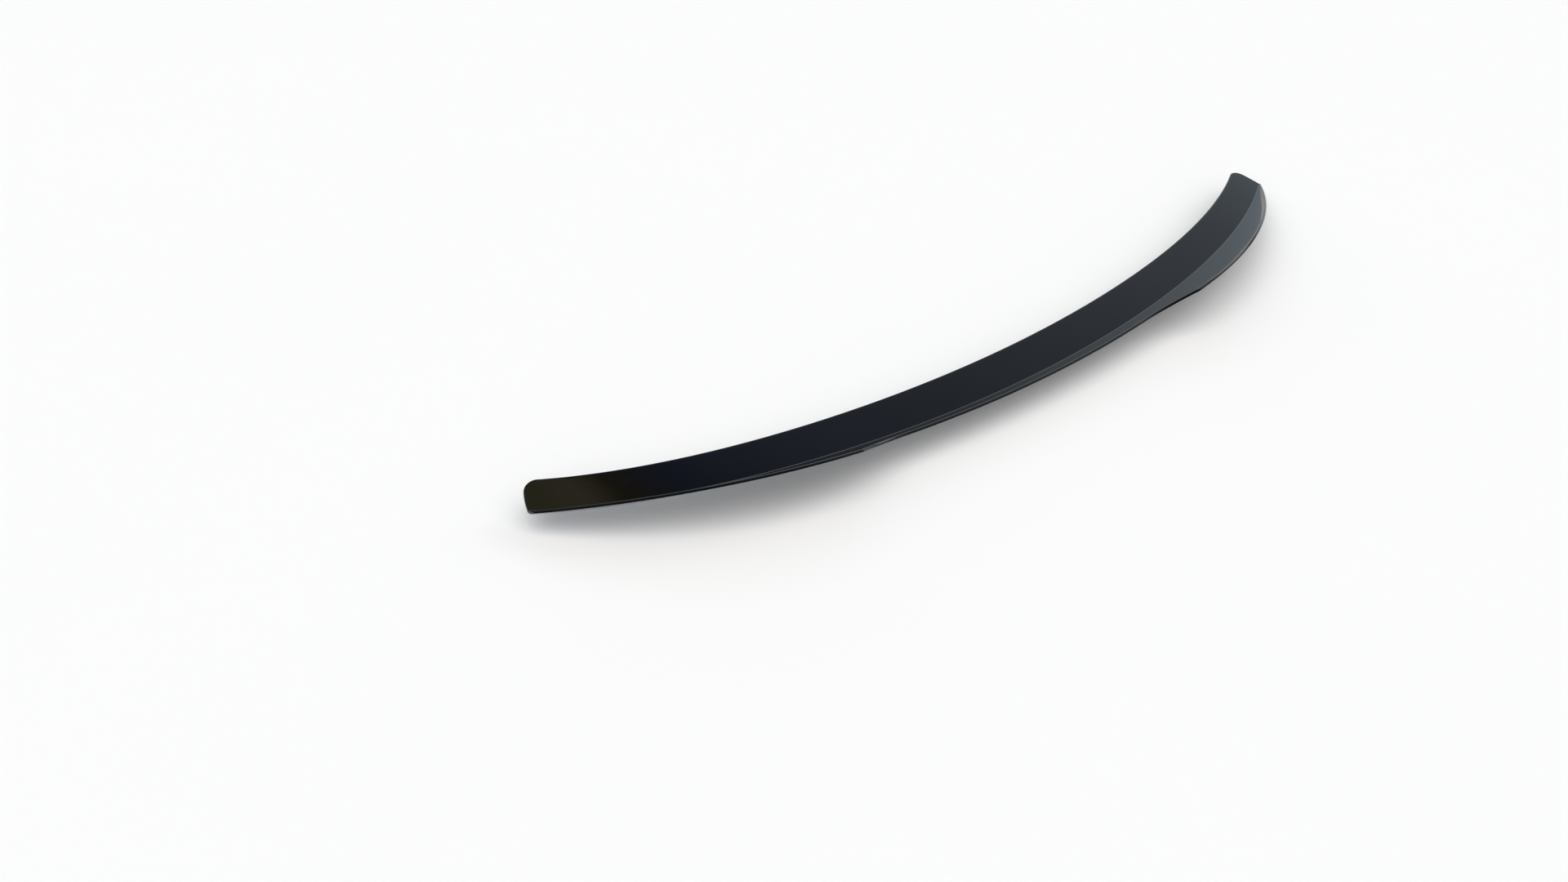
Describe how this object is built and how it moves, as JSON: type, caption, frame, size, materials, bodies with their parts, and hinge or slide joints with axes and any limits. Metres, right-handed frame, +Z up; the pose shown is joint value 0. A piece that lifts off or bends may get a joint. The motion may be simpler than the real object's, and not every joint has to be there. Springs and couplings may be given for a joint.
{
  "type": "rear spoiler lip",
  "caption": "Stick-on rear spoiler lip: a curved bent blade with a kicked-up trailing lip and taller ears at both sides, on a full-width bonding tape under a peel-off film.",
  "frame": {"origin": "middle of the bonded face of the tape, on the centre line", "axes": "+X to the right of the car and along the span, +Y forward, +Z up; the flange falls towards the rear by the slope of the lid"},
  "size_m": [1.2, 0.207, 0.0445],
  "materials": {
    "gloss_moulding": "polished gloss black, as moulded and flame polished",
    "acrylic_foam": "matt closed-cell foam with tacky faces",
    "liner_film": "satin release-coated film"
  },
  "bodies": {
    "moulding": {"spoiler_blade": "gloss_moulding", "bonding_tape": "acrylic_foam"},
    "liner": {"release_liner": "liner_film"}
  },
  "joints": [
    {"name": "liner_removal", "type": "slide", "parent": "moulding", "child": "liner", "axis": [0, 0.2639, -0.9646], "range_m": [0, 0.02]}
  ]
}
